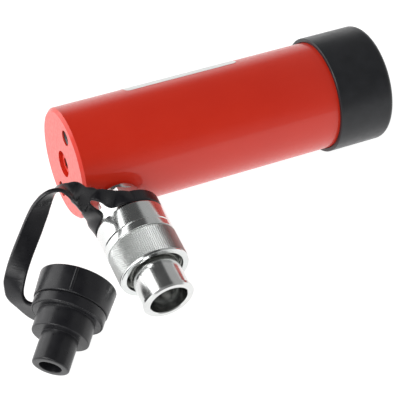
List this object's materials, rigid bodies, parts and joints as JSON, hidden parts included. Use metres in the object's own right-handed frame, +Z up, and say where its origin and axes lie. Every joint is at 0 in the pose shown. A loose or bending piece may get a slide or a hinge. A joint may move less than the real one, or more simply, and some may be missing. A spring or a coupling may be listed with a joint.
{
  "type": "single-acting hydraulic cylinder",
  "caption": "Compact single-acting hydraulic jacking cylinder with spring return, base mounting holes, a knurled quick coupler at the base end and a rubber dust cap on a strap.",
  "frame": {"origin": "centre of the base face, which is the centre of the circle of the two base mounting holes", "axes": "+X along the cylinder's axis towards the plunger end, +Z up with the cylinder lying on its side, the coupler pointing to -Y and a little down"},
  "size_m": [0.226, 0.1397, 0.0615],
  "materials": {
    "red_paint": "gloss",
    "seal_rubber": "satin",
    "plain_steel": "machined",
    "spring_steel": "drawn",
    "dark_steel": "black oxide",
    "hard_chrome": "ground and plated",
    "seal_polymer": "smooth",
    "ring_polymer": "smooth",
    "bronze": "machined",
    "black_plastic": "satin",
    "zinc_plate": "bright zinc plate",
    "cap_rubber": "satin"
  },
  "bodies": {
    "cylinder": {"cylinder_body": "red_paint", "anchor_screw": "red_paint", "anchor_screw_seal": "seal_rubber", "spring_lower_anchor": "plain_steel", "return_spring": "spring_steel", "gland_nut": "plain_steel", "gland_bearing": "bronze", "rod_wiper": "seal_polymer", "coupler_body": "zinc_plate", "port_seal": "seal_rubber", "collar_snap_ring": "spring_steel", "valve_seat": "plain_steel", "valve_spring": "spring_steel", "valve_retainer": "plain_steel", "retainer_snap_ring": "spring_steel", "nose_seal": "seal_rubber"},
    "plunger_rod": {"plunger": "hard_chrome", "piston_head": "plain_steel", "piston_snap_ring": "spring_steel", "piston_seal": "seal_polymer", "seal_backup_ring": "ring_polymer", "piston_wear_ring": "ring_polymer", "spring_upper_anchor": "plain_steel", "spring_hanger_screw": "dark_steel"},
    "saddle_pad": {"saddle": "dark_steel", "saddle_ring": "spring_steel"},
    "protector": {"thread_protector": "black_plastic"},
    "collar": {"coupler_collar": "zinc_plate"},
    "poppet": {"valve_poppet": "plain_steel"},
    "cap_and_strap": {"dust_cap": "cap_rubber", "cap_strap": "cap_rubber"}
  },
  "joints": [
    {"name": "plunger_slide", "type": "slide", "parent": "cylinder", "child": "plunger_rod", "axis": [1, 0, 0], "range_m": [0, 0.105], "stiffness_N_per_m": 1500, "springref_m": -0.08, "deforming": ["return_spring"]},
    {"name": "saddle_pull", "type": "slide", "parent": "plunger_rod", "child": "saddle_pad", "axis": [1, 0, 0], "range_m": [0, 0.016], "deforming": ["saddle_ring"]},
    {"name": "protector_slide", "type": "slide", "parent": "cylinder", "child": "protector", "axis": [1, 0, 0], "range_m": [0, 0.035]},
    {"name": "collar_spin", "type": "hinge", "parent": "cylinder", "child": "collar", "pos_m": [0.017, -0.06002, -0.01088], "axis": [0, -0.984, -0.1783], "continuous": true},
    {"name": "poppet_slide", "type": "slide", "parent": "cylinder", "child": "poppet", "axis": [0, 0.984, 0.1783], "range_m": [0, 0.004], "stiffness_N_per_m": 2000, "springref_m": -0.004, "deforming": ["valve_spring"]},
    {"name": "cap_swivel", "type": "hinge", "parent": "cylinder", "child": "cap_and_strap", "pos_m": [0.017, -0.04133, -0.00749], "axis": [0, 0.984, 0.1783], "range_deg": [0, 150]}
  ]
}
